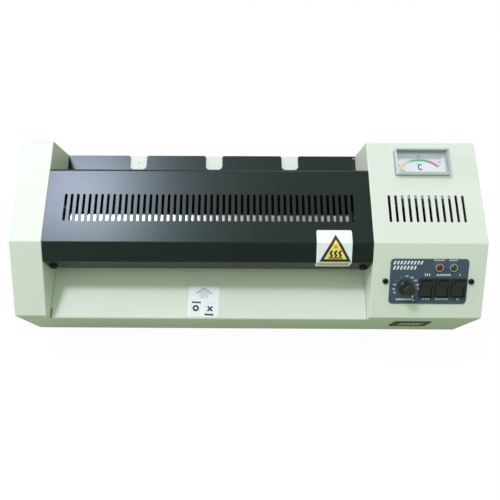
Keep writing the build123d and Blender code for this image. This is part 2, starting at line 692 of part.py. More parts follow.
BEZEL_R = 4.4
BEZEL_RISE = 2.5
LENS_R = 3.5
with BuildPart() as led_bezels:
    for x in LED_X:
        with BuildSketch(slope_plane.offset(-8)):
            with Locations((x, -LED_S)):
                Circle(LED_HOLE_R)
        extrude(amount=8 + PANEL_T)
        with BuildSketch(slope_plane.offset(PANEL_T)):
            with Locations((x, -LED_S)):
                Circle(BEZEL_R)
        extrude(amount=BEZEL_RISE, taper=6)
        with BuildSketch(slope_plane.offset(-8)):
            with Locations((x, -LED_S)):
                Circle(LENS_R)
        extrude(amount=8 + PANEL_T + BEZEL_RISE, mode=Mode.SUBTRACT)
save(led_bezels, "led_bezels")

LENS_TOP = 5.0
for colour, x in zip(("red", "green"), LED_X):
    with BuildPart() as lens:
        with BuildSketch(slope_plane.offset(-6)):
            with Locations((x, -LED_S)):
                Circle(LENS_R)
        extrude(amount=6 + LENS_TOP)
        fillet(lens.edges().filter_by(GeomType.CIRCLE).sort_by(Axis.Z)[-1], LENS_R * 0.85)
    save(lens, f"{colour}_lens")

KNOB_R = 8.2
KNOB_TOP_R = 5.5
KNOB_H = 15.0
KNOB_RIM = 0.8
SKIRT_STEP = 1.0                      # the skirt stands out round the foot of the cone
SKIRT_LOW, SKIRT_HIGH = 2.2, 2.8      # heights where its chamfer starts and ends
FLUTES = 30
FLUTE_R = 0.42
FLUTE_LOW, FLUTE_HIGH = 3.6, 13.5     # heights between which the knob is fluted
KNOB_LIFT = PANEL_T + 0.4
SPINDLE_R = 3.0
SPINDLE_DEPTH = 9.0
CONE_R = KNOB_R - SKIRT_STEP
knob_profile = [
    (0, 0),
    (KNOB_R, 0),
    (KNOB_R, SKIRT_LOW),
    (CONE_R, SKIRT_HIGH),
    (KNOB_TOP_R, KNOB_H),
    (0, KNOB_H),
]
KNOB_TAPER = atan2(CONE_R - KNOB_TOP_R, KNOB_H - SKIRT_HIGH)
slope_normal = slope_plane.z_dir
knob_seat = on_slope(KNOB_X, KNOB_S, KNOB_LIFT)
knob_half = Plane(origin=knob_seat, x_dir=(1, 0, 0), z_dir=Vector(1, 0, 0).cross(slope_normal))
spindle_end = Plane(
    origin=knob_seat - slope_normal * (KNOB_LIFT + SPINDLE_DEPTH),
    x_dir=(1, 0, 0),
    z_dir=slope_normal,
)
with BuildPart() as temperature_knob:
    with BuildSketch(knob_half):
        Polygon(*knob_profile, align=None)
    revolve(axis=Axis(knob_seat, slope_normal))
    fillet(temperature_knob.edges().filter_by(GeomType.CIRCLE).sort_by(Axis.Z)[-1], KNOB_RIM)
    flute_mid = (FLUTE_LOW + FLUTE_HIGH) / 2
    flute_r = CONE_R - (flute_mid - SKIRT_HIGH) * tan(KNOB_TAPER)
    with Locations(Plane(origin=knob_seat, x_dir=(1, 0, 0), z_dir=slope_normal)):
        with PolarLocations(0, FLUTES):
            with Locations(Location((flute_r, 0, flute_mid), (0, -KNOB_TAPER * 180 / pi, 0))):
                Cylinder(FLUTE_R, FLUTE_HIGH - FLUTE_LOW, mode=Mode.SUBTRACT)
    with BuildSketch(spindle_end):
        Circle(SPINDLE_R)
    extrude(amount=KNOB_LIFT + SPINDLE_DEPTH)
save(temperature_knob, "temperature_knob")

THERMOSTAT_R = 12.0
THERMOSTAT_L = 18.0
with BuildPart() as thermostat_body:
    for height, radius, length in (
        (-SHEET, THERMOSTAT_R, THERMOSTAT_L),
        (PANEL_T, KNOB_HOLE_R, PANEL_T + SHEET),
    ):
        with BuildSketch(slope_plane.offset(height)):
            with Locations((KNOB_X, -KNOB_S)):
                Circle(radius)
        extrude(amount=-length)
    with BuildSketch(slope_plane.offset(PANEL_T)):
        with Locations((KNOB_X, -KNOB_S)):
            Circle(SPINDLE_R + RUN)
    extrude(amount=-SPINDLE_DEPTH - 2, mode=Mode.SUBTRACT)
save(thermostat_body, "thermostat_body")

# ---------------------------------------------------------------- rocker switches
BEZEL_W, BEZEL_L, BEZEL_H = 15.8, 21.6, 1.8
BODY_DEPTH = 17.0
WELL_W, WELL_L, WELL_DEPTH = 11.2, 18.2, 6.8
TERMINAL = (0.8, 4.8, 7.0)
with BuildPart() as switch_housings:
    for x in SWITCH_X:
        place = Locations((x, -SWITCH_S))
        with BuildSketch(slope_plane.offset(PANEL_T)):
            with place:
                RectangleRounded(BEZEL_W, BEZEL_L, 1.0)
        extrude(amount=BEZEL_H, taper=12)
        with BuildSketch(slope_plane.offset(PANEL_T)):
            with place:
                Rectangle(SWITCH_CUT_W, SWITCH_CUT_L)
        extrude(amount=-BODY_DEPTH)
        with BuildSketch(slope_plane.offset(PANEL_T + BEZEL_H)):
            with place:
                Rectangle(WELL_W, WELL_L)
        extrude(amount=-WELL_DEPTH - BEZEL_H - PANEL_T, mode=Mode.SUBTRACT)
        with BuildSketch(slope_plane.offset(PANEL_T - BODY_DEPTH)):
            with place:
                with GridLocations(0, 6.0, 1, 3):
                    Rectangle(TERMINAL[1], TERMINAL[0])
        extrude(amount=-TERMINAL[2])
save(switch_housings, "switch_housings")

ROCKER_W = 10.5
ROCKER_TILT = 10.0        # to either side of the middle
ROCKER_R = 8.7
PIVOT_H = -0.65           # height of the pivot, from the outside of the casing's sheet
ROCKER_EDGE = 3.4
ROCKER_DIP = 1.9
ROCKER_BASE = 3.3


def rocker(x):
    """Rocker with a shallow V face, its lower end pressed in."""
    pivot = on_slope(x, SWITCH_S, PIVOT_H)
    lean = SLOPE + ROCKER_TILT * pi / 180
    tilted = Plane(origin=pivot, x_dir=(0, cos(lean), sin(lean)), z_dir=(1, 0, 0))
    top_u = sqrt(ROCKER_R**2 - ROCKER_EDGE**2)
    low_u = sqrt(ROCKER_R**2 - ROCKER_BASE**2)
    with BuildPart() as lever:
        with BuildSketch(tilted.offset(-ROCKER_W / 2)):
            with BuildLine():
                Polyline((-top_u, ROCKER_EDGE), (0, ROCKER_DIP), (top_u, ROCKER_EDGE))
                ThreePointArc((top_u, ROCKER_EDGE), (ROCKER_R, 0), (low_u, -ROCKER_BASE))
                Line((low_u, -ROCKER_BASE), (-low_u, -ROCKER_BASE))
                ThreePointArc((-low_u, -ROCKER_BASE), (-ROCKER_R, 0), (-top_u, ROCKER_EDGE))
            make_face()
        extrude(amount=ROCKER_W)
    return lever.part


for name, x in zip(("heat_rocker", "direction_rocker", "power_rocker"), SWITCH_X):
    with BuildPart() as lever:
        add(rocker(x))
    save(lever, name)

# ---------------------------------------------------------------- temperature meter
CUP_BOTTOM = 95.0
CUP_WALL = 1.2
CUP_LOW_Y = 22.5
METER_FLOOR = 112.0
cup_x = (meter_mid[0] - METER_CUT_W / 2, meter_mid[0] + METER_CUT_W / 2)
cup_y = (meter_mid[1] - METER_CUT_L / 2, meter_mid[1] + METER_CUT_L / 2)
UNDER_SHEET = TOP_Z - SHEET - 0.2


def inner(span, wall=CUP_WALL):
    return (span[0] + wall, span[1] - wall)


with BuildPart() as meter_housing:
    add(block(cup_x, (CUP_LOW_Y, cup_y[1]), (CUP_BOTTOM, UNDER_SHEET)))
    add(block(cup_x, cup_y, (UNDER_SHEET, TOP_Z)))
    hollow_y = (CUP_LOW_Y + CUP_WALL, cup_y[1] - CUP_WALL)
    add(block(inner(cup_x), hollow_y, (METER_FLOOR, UNDER_SHEET - 0.8)), mode=Mode.SUBTRACT)
    add(block(inner(cup_x), inner(cup_y), (METER_FLOOR, TOP_Z)), mode=Mode.SUBTRACT)
save(meter_housing, "meter_housing")

DIAL_Z = 116.2
with BuildPart() as meter_dial:
    add(block(inner(cup_x, 1.6), (METER_PIVOT[1] + 4, cup_y[1] - 1.6), (METER_FLOOR, DIAL_Z)))
save(meter_dial, "meter_dial")

NEEDLE_L = 28.0
NEEDLE_Z = DIAL_Z + 0.9
NEEDLE_T = 0.5
HUB_R = 1.6
HUB_DROP, HUB_L = 2.5, 3.7
NEEDLE_REST = 141.0       # degrees from +X; the pointer lies at the cold end of its scale
needle_plane = Plane(
    origin=(*METER_PIVOT, NEEDLE_Z),
    x_dir=(cos(NEEDLE_REST * pi / 180), sin(NEEDLE_REST * pi / 180), 0),
    z_dir=(0, 0, 1),
)
with BuildPart() as meter_needle:
    with BuildSketch(needle_plane):
        Polygon((-4, -0.7), (NEEDLE_L, -0.25), (NEEDLE_L, 0.25), (-4, 0.7), align=None)
    extrude(amount=NEEDLE_T)
    with BuildSketch(needle_plane.offset(-HUB_DROP)):
        Circle(HUB_R)
    extrude(amount=HUB_L)
save(meter_needle, "meter_needle")

with BuildPart() as meter_cover:
    with BuildSketch(Plane.XY.offset(TOP_Z)):
        with Locations(meter_mid):
            RectangleRounded(METER[1] - METER[0], METER[3] - METER[2], 1.5)
    extrude(amount=METER_H)
    fillet(meter_cover.faces().sort_by(Axis.Z)[-1].edges(), 1.2)
    hollow_x, hollow_y = inner(METER[:2]), inner(METER[2:])
    add(block(hollow_x, hollow_y, (TOP_Z, TOP_Z + METER_H - CUP_WALL)), mode=Mode.SUBTRACT)
save(meter_cover, "meter_cover")

# ---------------------------------------------------------------- plate and labels
PROUD = 1.0               # the badge in front and the inlet behind stand out equally
BADGE_X, BADGE_Z = 184.2, 48.5
BADGE_W, BADGE_H = 41.0, 26.5
with BuildPart() as badge_plate:
    front = Plane(origin=(BADGE_X, FRONT_Y, BADGE_Z), x_dir=(1, 0, 0), z_dir=(0, -1, 0))
    with BuildSketch(front):
        RectangleRounded(BADGE_W, BADGE_H, 2.5)
    extrude(amount=PROUD)
    fillet(badge_plate.faces().sort_by(Axis.Y)[0].edges(), 0.4)
save(badge_plate, "badge_plate")

LABEL_T = 0.25
FEED_LABEL = (-48.2, -80.4)
FEED_LABEL_W = 34.0
FEED_TURN = -2.0          # degrees; it was stuck on slightly askew
with BuildPart() as feed_label:
    with BuildSketch(Plane.XY.offset(NIP_Z)):
        with Locations(Location((*FEED_LABEL, 0), (0, 0, FEED_TURN))):
            RectangleRounded(FEED_LABEL_W, FEED_LABEL_W, 3)
    extrude(amount=LABEL_T)
save(feed_label, "feed_label")

HEAT_LABEL = (71.5, 108.6)
HEAT_LABEL_Y = -15.0
HEAT_LABEL_DROP = 12.5
HEAT_LABEL_R = 2.0
heat_label_line = [
    (HEAT_LABEL_Y, TOP_Z),
    *cover_line[2:4],
    (COVER_FRONT_Y, cover_line[3][1] - HEAT_LABEL_DROP),
]
with BuildPart() as heat_label:
    add(bent_sheet(heat_label_line, *HEAT_LABEL, LABEL_T, COVER_BENDS[1:], Side.RIGHT))
    fillet(heat_label.edges().filter_by(Axis.Z).group_by(Axis.Y)[-1], HEAT_LABEL_R)
    fillet(heat_label.edges().filter_by(Axis.Y).group_by(Axis.Z)[0], HEAT_LABEL_R)
save(heat_label, "heat_label")

# ---------------------------------------------------------------- inlet and fuse
rear_face = Plane(origin=(0, REAR_Y, INLET_Z), x_dir=(-1, 0, 0), z_dir=(0, 1, 0))
INLET_FLANGE = (33.0, 26.0)
INLET_DEPTH = 24.0
INLET_MOUTH = (23.0, 15.5)
INLET_MOUTH_DEPTH = 16.0
with BuildPart() as power_inlet:
    with BuildSketch(rear_face):
        with Locations((-INLET_X, 0)):
            RectangleRounded(*INLET_FLANGE, 3)
    extrude(amount=PROUD)
    with BuildSketch(rear_face):
        with Locations((-INLET_X, 0)):
            Rectangle(INLET_W, INLET_H)
    extrude(amount=-INLET_DEPTH)
    with BuildSketch(rear_face.offset(PROUD)) as mouth:
        with Locations((-INLET_X, 0)):
            Rectangle(*INLET_MOUTH)
        chamfer(mouth.vertices().group_by(Axis.Z)[-1], 4)
    extrude(amount=-INLET_MOUTH_DEPTH - PROUD, mode=Mode.SUBTRACT)
save(power_inlet, "power_inlet")

PIN_SECTION = (2.0, 4.0)
PIN_L = 13.0
with BuildPart() as inlet_pins:
    with BuildSketch(rear_face.offset(-INLET_MOUTH_DEPTH)):
        with Locations((-INLET_X - 7, -2), (-INLET_X + 7, -2), (-INLET_X, 2)):
            Rectangle(*PIN_SECTION)
    extrude(amount=PIN_L)
save(inlet_pins, "inlet_pins")

FUSE_CAP_R = 7.5
FUSE_L = 28.0
with BuildPart() as fuse_holder:
    with BuildSketch(rear_face):
        with Locations((-FUSE_X, 0)):
            Circle(FUSE_CAP_R)
    extrude(amount=PROUD)
    with BuildSketch(rear_face):
        with Locations((-FUSE_X, 0)):
            Circle(FUSE_R)
    extrude(amount=-FUSE_L)
    with BuildSketch(rear_face.offset(PROUD)):
        with Locations((-FUSE_X, 0)):
            Rectangle(8, 1.4)
    extrude(amount=-1.2, mode=Mode.SUBTRACT)
save(fuse_holder, "fuse_holder")
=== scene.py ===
import json
import math

import bmesh
import bpy
from mathutils import Matrix, Vector


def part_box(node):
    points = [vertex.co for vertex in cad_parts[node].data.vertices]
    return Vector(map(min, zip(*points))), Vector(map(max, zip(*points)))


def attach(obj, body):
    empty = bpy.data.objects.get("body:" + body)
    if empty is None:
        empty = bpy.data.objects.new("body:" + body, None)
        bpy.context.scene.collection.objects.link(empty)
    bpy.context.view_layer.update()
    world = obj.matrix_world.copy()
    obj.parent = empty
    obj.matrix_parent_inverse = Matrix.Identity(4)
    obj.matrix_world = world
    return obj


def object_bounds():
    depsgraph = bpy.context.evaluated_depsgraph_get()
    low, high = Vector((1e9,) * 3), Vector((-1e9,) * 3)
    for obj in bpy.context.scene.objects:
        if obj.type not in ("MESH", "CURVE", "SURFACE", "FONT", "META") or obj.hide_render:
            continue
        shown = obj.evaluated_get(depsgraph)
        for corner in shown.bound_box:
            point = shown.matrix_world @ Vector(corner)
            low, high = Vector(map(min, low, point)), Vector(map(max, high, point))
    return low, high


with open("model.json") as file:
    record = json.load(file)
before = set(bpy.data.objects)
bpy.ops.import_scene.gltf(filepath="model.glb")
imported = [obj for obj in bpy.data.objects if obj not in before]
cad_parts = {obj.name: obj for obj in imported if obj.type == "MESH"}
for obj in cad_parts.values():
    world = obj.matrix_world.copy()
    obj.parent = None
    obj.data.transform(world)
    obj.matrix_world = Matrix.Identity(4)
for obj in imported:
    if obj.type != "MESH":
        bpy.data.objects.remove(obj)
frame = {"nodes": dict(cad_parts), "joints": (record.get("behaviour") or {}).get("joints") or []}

# Looks of the pouch laminator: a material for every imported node, the printing on its
# panel, dial and labels, and a plain studio around it. Lengths are in metres, and the
# small sizes of printing are in millimetres times MM.

cad_box = [list(corner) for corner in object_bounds()]
nodes = frame["nodes"]
joints = {joint["name"]: joint for joint in frame["joints"]}
MM = 0.001
UP = Vector((0, 0, 1))
RIGHT = Vector((1, 0, 0))


# ------------------------------------------------------------------ places on the object
def middle(node):
    low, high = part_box(node)
    return (low + high) / 2


class Face:
    """A flat face to print on: its middle, its right and up directions, its normal."""

    def __init__(self, origin, right, up):
        self.origin = Vector(origin)
        self.right = Vector(right).normalized()
        self.up = Vector(up).normalized()
        self.normal = self.right.cross(self.up)

    def at(self, x, y, height=0.0):
        """The point x to the right and y up on the face, in millimetres."""
        flat = self.right * x + self.up * y + self.normal * height
        return self.origin + flat * MM

    def matrix(self, x=0.0, y=0.0, height=0.0):
        turn = Matrix((self.right, self.up, self.normal)).transposed().to_4x4()
        return Matrix.Translation(self.at(x, y, height)) @ turn


panel_normal = Vector(joints["knob_turn"]["axis"])
panel_up = panel_normal.cross(RIGHT)
PANEL_THICK = 0.8 * MM
panel_low, panel_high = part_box("control_panel_plate")
panel = Face(middle("control_panel_plate") + panel_normal * PANEL_THICK / 2, RIGHT, panel_up)
PANEL_W = (panel_high.x - panel_low.x) / MM
PANEL_H = (panel_high.y - panel_low.y) / panel_up.y / MM


def on_panel(node):
    """Where a node's middle lies on the panel, in millimetres right and up of its middle."""
    offset = middle(node) - panel.origin
    return offset.dot(panel.right) / MM, offset.dot(panel.up) / MM


knob_offset = Vector(joints["knob_turn"]["pos_m"]) - panel.origin
knob_x = knob_offset.dot(panel.right) / MM
knob_y = knob_offset.dot(panel.up) / MM

dial_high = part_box("meter_dial")[1]
needle_pivot = Vector(joints["needle_swing"]["pos_m"])
dial = Face((needle_pivot.x, needle_pivot.y, dial_high.z), RIGHT, (0, 1, 0))


# ------------------------------------------------------------------ materials
def socket_value(node, name, value):
    node.inputs[name].default_value = value


def new_material(name):
    material = bpy.data.materials.new(name)
    material.use_nodes = True
    return material, material.node_tree.nodes, material.node_tree.links


def noise(tree_nodes, links, scale, detail=3.0):
    coords = tree_nodes.new("ShaderNodeTexCoord")
    texture = tree_nodes.new("ShaderNodeTexNoise")
    socket_value(texture, "Scale", scale)
    socket_value(texture, "Detail", detail)
    socket_value(texture, "Roughness", 0.55)
    links.new(coords.outputs["Object"], texture.inputs["Vector"])
    return texture


def ramp(tree_nodes, links, source, low_colour, high_colour, low=0.3, high=0.7):
    colours = tree_nodes.new("ShaderNodeValToRGB")
    colours.color_ramp.elements[0].position = low
    colours.color_ramp.elements[0].color = (*low_colour, 1)
    colours.color_ramp.elements[1].position = high
    colours.color_ramp.elements[1].color = (*high_colour, 1)
    links.new(source, colours.inputs["Fac"])
    return colours.outputs["Color"]


def shade(colour, factor):
    return tuple(min(1.0, channel * factor) for channel in colour)


RELIEF_DEPTH = 0.12 * MM


def surface(
    name, colour, roughness=0.5, vary=0.04, vary_scale=9.0, grain=900.0, bump=0.1,
    rough_vary=0.05, metallic=0.0, specular=0.5, tint=(1.0, 1.0, 1.0), stretch=None,
):
    """A solid finish: slow colour drift, uneven gloss and a fine bump, all from noise."""
    material, tree, links = new_material(name)
    shader = tree["Principled BSDF"]
    socket_value(shader, "Metallic", metallic)
    socket_value(shader, "Specular IOR Level", specular)
    socket_value(shader, "Specular Tint", (*tint, 1))
    drift = noise(tree, links, vary_scale)
    darker, lighter = shade(colour, 1 - vary), shade(colour, 1 + vary)
    mottled = ramp(tree, links, drift.outputs["Fac"], darker, lighter)
    links.new(mottled, shader.inputs["Base Color"])
    fine = noise(tree, links, grain, detail=2.0)
    if stretch:
        mapping = tree.new("ShaderNodeMapping")
        socket_value(mapping, "Scale", stretch)
        links.new(fine.inputs["Vector"].links[0].from_socket, mapping.inputs["Vector"])
        links.new(mapping.outputs["Vector"], fine.inputs["Vector"])
    gloss = tree.new("ShaderNodeMapRange")
    socket_value(gloss, "To Min", max(0.02, roughness - rough_vary))
    socket_value(gloss, "To Max", min(1.0, roughness + rough_vary))
    links.new(fine.outputs["Fac"], gloss.inputs["Value"])
    links.new(gloss.outputs["Result"], shader.inputs["Roughness"])
    relief = tree.new("ShaderNodeBump")
    socket_value(relief, "Strength", bump)
    socket_value(relief, "Distance", RELIEF_DEPTH)
    links.new(fine.outputs["Fac"], relief.inputs["Height"])
    links.new(relief.outputs["Normal"], shader.inputs["Normal"])
    return material


def tinted_lens(name, colour):
    """Moulded coloured lens, slightly cloudy."""
    material = surface(name, colour, roughness=0.22, vary=0.12, vary_scale=180, grain=400, bump=0.05)
    shader = material.node_tree.nodes["Principled BSDF"]
    socket_value(shader, "Transmission Weight", 0.25)
    socket_value(shader, "IOR", 1.49)
    return material


def printing_ink(name, colour, vary=0.06, vary_scale=600, roughness=0.5):
    """Printing ink: thin and a little uneven, with a fine tooth."""
    return surface(
        name, colour, roughness=roughness, vary=vary, vary_scale=vary_scale, grain=2500, bump=0.2
    )


cream = surface(
    "cream_powder_coat", (0.71, 0.745, 0.675), roughness=0.42, vary=0.02, grain=620,
    bump=0.22, specular=0.45,
)
cream_dull = surface("cream_inside", (0.66, 0.69, 0.62), roughness=0.6, grain=500, bump=0.2)
black = surface(
    "black_powder_coat", (0.004, 0.0095, 0.0065), roughness=0.29, vary=0.10, grain=900,
    bump=0.07, specular=0.45, tint=(0.80, 0.93, 1.0), rough_vary=0.03,
)
slate = surface(
    "slate_panel_print", (0.056, 0.080, 0.125), roughness=0.5, vary=0.10, vary_scale=60,
    grain=1100, bump=0.10, specular=0.4,
)
zinc = surface(
    "zinc_plate", (0.52, 0.53, 0.54), roughness=0.38, vary=0.10, vary_scale=40, metallic=1.0,
    grain=300, bump=0.08,
)
bright = surface(
    "bright_reflector", (0.86, 0.88, 0.87), roughness=0.38, vary=0.03, metallic=1.0,
    grain=260, bump=0.05,
)
cast = surface(
    "extruded_aluminium", (0.60, 0.61, 0.61), roughness=0.45, metallic=1.0, grain=700,
    bump=0.25, stretch=(0.05, 1, 1),
)
turned = surface(
    "turned_steel", (0.62, 0.63, 0.64), roughness=0.25, metallic=1.0, grain=2200, bump=0.12,
    stretch=(1, 0.05, 0.05),
)
silicone = surface(
    "silicone_rubber", (0.020, 0.017, 0.015), roughness=0.7, grain=1600, bump=0.15,
    specular=0.25,
)
pale_moulding = surface(
    "pale_moulding", (0.40, 0.47, 0.47), roughness=0.5, vary=0.08,
    grain=1200, bump=0.15,
)
nylon = surface("nylon", (0.74, 0.71, 0.62), roughness=0.5, grain=900, bump=0.1)
bronze = surface(
    "sintered_bronze", (0.60, 0.40, 0.18), roughness=0.42, metallic=1.0,
    grain=2600, bump=0.3,
)
ceramic = surface("heater_ceramic", (0.78, 0.74, 0.66), roughness=0.8, grain=1800, bump=0.2)
motor_paint = surface("motor_enamel", (0.10, 0.105, 0.115), roughness=0.4, grain=700, bump=0.2)
board = surface("solder_mask", (0.015, 0.13, 0.045), roughness=0.3, vary=0.25, vary_scale=220, grain=900)
moulded = surface("black_moulding", (0.020, 0.021, 0.023), roughness=0.55, vary=0.1, grain=1500, bump=0.3)
switch = surface(
    "switch_moulding", (0.013, 0.017, 0.015), roughness=0.38, vary=0.12, vary_scale=90,
    grain=1400, bump=0.16, specular=0.5,
)
knob_plastic = surface(
    "knob_moulding", (0.014, 0.020, 0.017), roughness=0.30, vary=0.12, vary_scale=90,
    grain=1400, bump=0.08, specular=0.6,
)
chrome = surface(
    "chrome", (0.95, 0.95, 0.96), roughness=0.16, metallic=1.0, vary=0.02,
    grain=500, bump=0.03,
)
red_lens = tinted_lens("red_lens", (0.16, 0.006, 0.006))
green_lens = tinted_lens("green_lens", (0.006, 0.085, 0.022))
needle_paint = surface("needle_paint", (0.72, 0.30, 0.28), roughness=0.5, grain=900)
blackened = surface(
    "blackened_screw", (0.014, 0.014, 0.014), roughness=0.35, metallic=0.6,
    grain=1400, bump=0.2,
)
olive = surface(
    "olive_plate", (0.055, 0.050, 0.030), roughness=0.42, vary=0.12, vary_scale=70,
    grain=1200, bump=0.15,
)
vinyl = surface(
    "vinyl", (0.89, 0.89, 0.94), roughness=0.42, vary=0.015, vary_scale=50,
    grain=500, bump=0.05,
)
dial_card = surface(
    "dial_card", (0.80, 0.77, 0.84), roughness=0.55, vary=0.02, vary_scale=70,
    grain=900, bump=0.06,
)
rubber = surface("foot_rubber", (0.022, 0.022, 0.022), roughness=0.8, grain=1800, bump=0.35)
contact = surface("contact_brass", (0.78, 0.62, 0.32), roughness=0.3, metallic=1.0, grain=900)

ink_white = printing_ink("ink_white", (0.78, 0.84, 0.86), vary=0.12, vary_scale=900, roughness=0.55)
ink_black = printing_ink("ink_black", (0.012, 0.014, 0.018), vary=0.15, vary_scale=700)
ink_grey = printing_ink("ink_grey", (0.25, 0.30, 0.34), vary=0.05, vary_scale=700)
ink_pale = printing_ink("ink_pale", (0.67, 0.71, 0.74), vary=0.05, vary_scale=700)
ink_yellow = printing_ink("ink_yellow", (0.95, 0.72, 0.14), vary=0.08, vary_scale=300, roughness=0.45)
ink_straw = printing_ink("ink_straw", (0.72, 0.66, 0.26))
ink_green = printing_ink("ink_green", (0.10, 0.46, 0.29))
ink_gold = printing_ink("ink_gold", (0.66, 0.44, 0.11), vary=0.25, vary_scale=260, roughness=0.45)
ink_orange = printing_ink("ink_orange", (0.62, 0.33, 0.06), vary=0.1, vary_scale=300, roughness=0.45)
ink_slate = printing_ink("ink_slate", (0.045, 0.075, 0.095), vary=0.1, vary_scale=500)
ink_worn = printing_ink("ink_worn", (0.20, 0.25, 0.29), vary=0.3, vary_scale=900, roughness=0.55)
ink_badge = printing_ink("ink_badge", (0.72, 0.76, 0.55), vary=0.2, vary_scale=300)
# Painted shade and reflection: the dark tint of the strip drawn for the window's back wall.
painted_shade_tint = surface(
    "painted_shade_tint", (0.19, 0.27, 0.245), roughness=0.5, vary=0.06, vary_scale=200,
    grain=1500, bump=0.1,
)
ink_red = printing_ink("ink_red", (0.52, 0.13, 0.14))


def clear_plastic():
    """Thin clear window: light goes straight through it, and only its gloss shows."""
    material = surface("clear_window", (0.94, 0.97, 1.0), roughness=0.08, vary=0.01, grain=60, bump=0.02)
    tree, links = material.node_tree.nodes, material.node_tree.links
    shader = tree["Principled BSDF"]
    through = tree.new("ShaderNodeBsdfTransparent")
    socket_value(through, "Color", (0.985, 0.997, 0.993, 1))
    edge = tree.new("ShaderNodeFresnel")
    socket_value(edge, "IOR", 1.24)
    blend = tree.new("ShaderNodeMixShader")
    links.new(edge.outputs["Fac"], blend.inputs["Fac"])
    links.new(through.outputs["BSDF"], blend.inputs[1])
    links.new(shader.outputs["BSDF"], blend.inputs[2])
    links.new(blend.outputs["Shader"], tree["Material Output"].inputs["Surface"])
    return material


window = clear_plastic()

finishes = {
    cream: ["left_casing", "right_casing", "front_table", "rear_panel"],
    cream_dull: ["base_pan"],
    black: ["top_cover", "exit_plate"],
    slate: ["control_panel_plate"],
    zinc: ["cover_rails", "left_side_frame", "right_side_frame", "pouch_guides", "motor_bracket"],
    bright: ["heat_reflector"],
    cast: ["heater_shoes"],
    turned: ["tie_rods", "idler_pin", "drive_pinion", "pressure_springs", "pressure_screws"]
    + [f"{roller}_core" for roller in ("lower_hot", "upper_hot", "lower_pull", "upper_pull")],
    silicone: [f"{roller}_sleeve" for roller in ("lower_hot", "upper_hot", "lower_pull", "upper_pull")],
    nylon: ["idler_gear"]
    + [f"{roller}_gear" for roller in ("lower_hot", "upper_hot", "lower_pull", "upper_pull")],
    bronze: ["roller_bushes"],
    ceramic: ["heating_elements"],
    motor_paint: ["drive_motor"],
    board: ["control_board"],
    moulded: ["board_parts", "thermostat_body", "power_inlet", "fuse_holder"],
    pale_moulding: ["meter_housing"],
    switch: ["switch_housings", "heat_rocker", "direction_rocker", "power_rocker"],
    knob_plastic: ["temperature_knob"],
    chrome: ["led_bezels"],
    red_lens: ["red_lens"],
    green_lens: ["green_lens"],
    window: ["meter_cover"],
    dial_card: ["meter_dial"],
    needle_paint: ["meter_needle"],
    blackened: ["cover_screws", "panel_screws"],
    olive: ["badge_plate"],
    vinyl: ["feed_label", "heat_label"],
    rubber: ["rubber_feet"],
    contact: ["inlet_pins"],
}
for material, names in finishes.items():
    for name in names:
        slots = nodes[name].data.materials
        slots.clear()
        slots.append(material)


# ------------------------------------------------------------------ printing
INK_THICK = 0.05


class Print:
    """Flat ink shapes on one face, gathered into one closed thin mesh."""

    def __init__(self, face, lift=0.02):
        self.face = face
        self.lift = lift
        self.shapes = []

    def shape(self, points):
        self.shapes.append([tuple(point) for point in points])

    def bar(self, x, y, width, height, slant=0.0, turn=0.0):
        """A rectangle about its middle; slant moves its top to the right."""
        corners = ((-1, -1), (1, -1), (1, 1), (-1, 1))
        cos, sin = math.cos(math.radians(turn)), math.sin(math.radians(turn))
        flat = []
        for side, end in corners:
            px = side * width / 2 + end * slant / 2
            py = end * height / 2
            flat.append((x + px * cos - py * sin, y + px * sin + py * cos))
        self.shape(flat)

    def ring(self, x, y, radius, width, start=0.0, end=360.0, steps=32):
        """An arc band, from start to end degrees."""
        step = math.radians(end - start) / steps
        for i in range(steps):
            a, b = math.radians(start) + i * step, math.radians(start) + (i + 1) * step
            band = ((radius - width / 2, a), (radius + width / 2, a))
            band += ((radius + width / 2, b), (radius - width / 2, b))
            self.shape([(x + r * math.cos(t), y + r * math.sin(t)) for r, t in band])

    def line(self, points, width):
        """Straight strokes from point to point."""
        for (x1, y1), (x2, y2) in zip(points, points[1:]):
            length = math.hypot(x2 - x1, y2 - y1)
            turn = math.degrees(math.atan2(y2 - y1, x2 - x1))
            self.bar((x1 + x2) / 2, (y1 + y2) / 2, length + width * 0.6, width, turn=turn)

    def strokes(self, x, y, width, height, count, slant=0.0):
        """A row of plain upright bars from x, as a stand-in for a printed title."""
        pitch = width / count
        for i in range(count):
            self.bar(x + (i + 0.5) * pitch, y, pitch * 0.52, height, slant)

    def chevrons(self, x, y, width, height, count, stroke, way=1):
        """A row of arrow heads about x that point up, or down when way is -1."""
        pitch = width / count
        for i in range(count):
            mid = x + (i - (count - 1) / 2) * pitch
            foot = y - way * height / 2
            tip = y + way * height / 2
            self.line([(mid - pitch * 0.36, foot), (mid, tip), (mid + pitch * 0.36, foot)], stroke)

    def build(self, name, material, body="machine"):
        mesh = bmesh.new()
        for layer, points in enumerate(self.shapes):
            height = self.lift + INK_THICK + 0.0004 * (layer % 7)
            low = [mesh.verts.new(self.face.at(px, py, self.lift)) for px, py in points]
            high = [mesh.verts.new(self.face.at(px, py, height)) for px, py in points]
            mesh.faces.new(high)
            mesh.faces.new(low[::-1])
            for i in range(len(points)):
                j = (i + 1) % len(points)
                mesh.faces.new((low[i], low[j], high[j], high[i]))
        bmesh.ops.recalc_face_normals(mesh, faces=mesh.faces)
        return place(mesh_object(name, mesh, material), body)


def mesh_object(name, mesh, material):
    data = bpy.data.meshes.new(name)
    mesh.to_mesh(data)
    mesh.free()
    data.materials.append(material)
    piece = bpy.data.objects.new(name, data)
    bpy.context.scene.collection.objects.link(piece)
    return piece


def place(piece, body):
    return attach(piece, body)


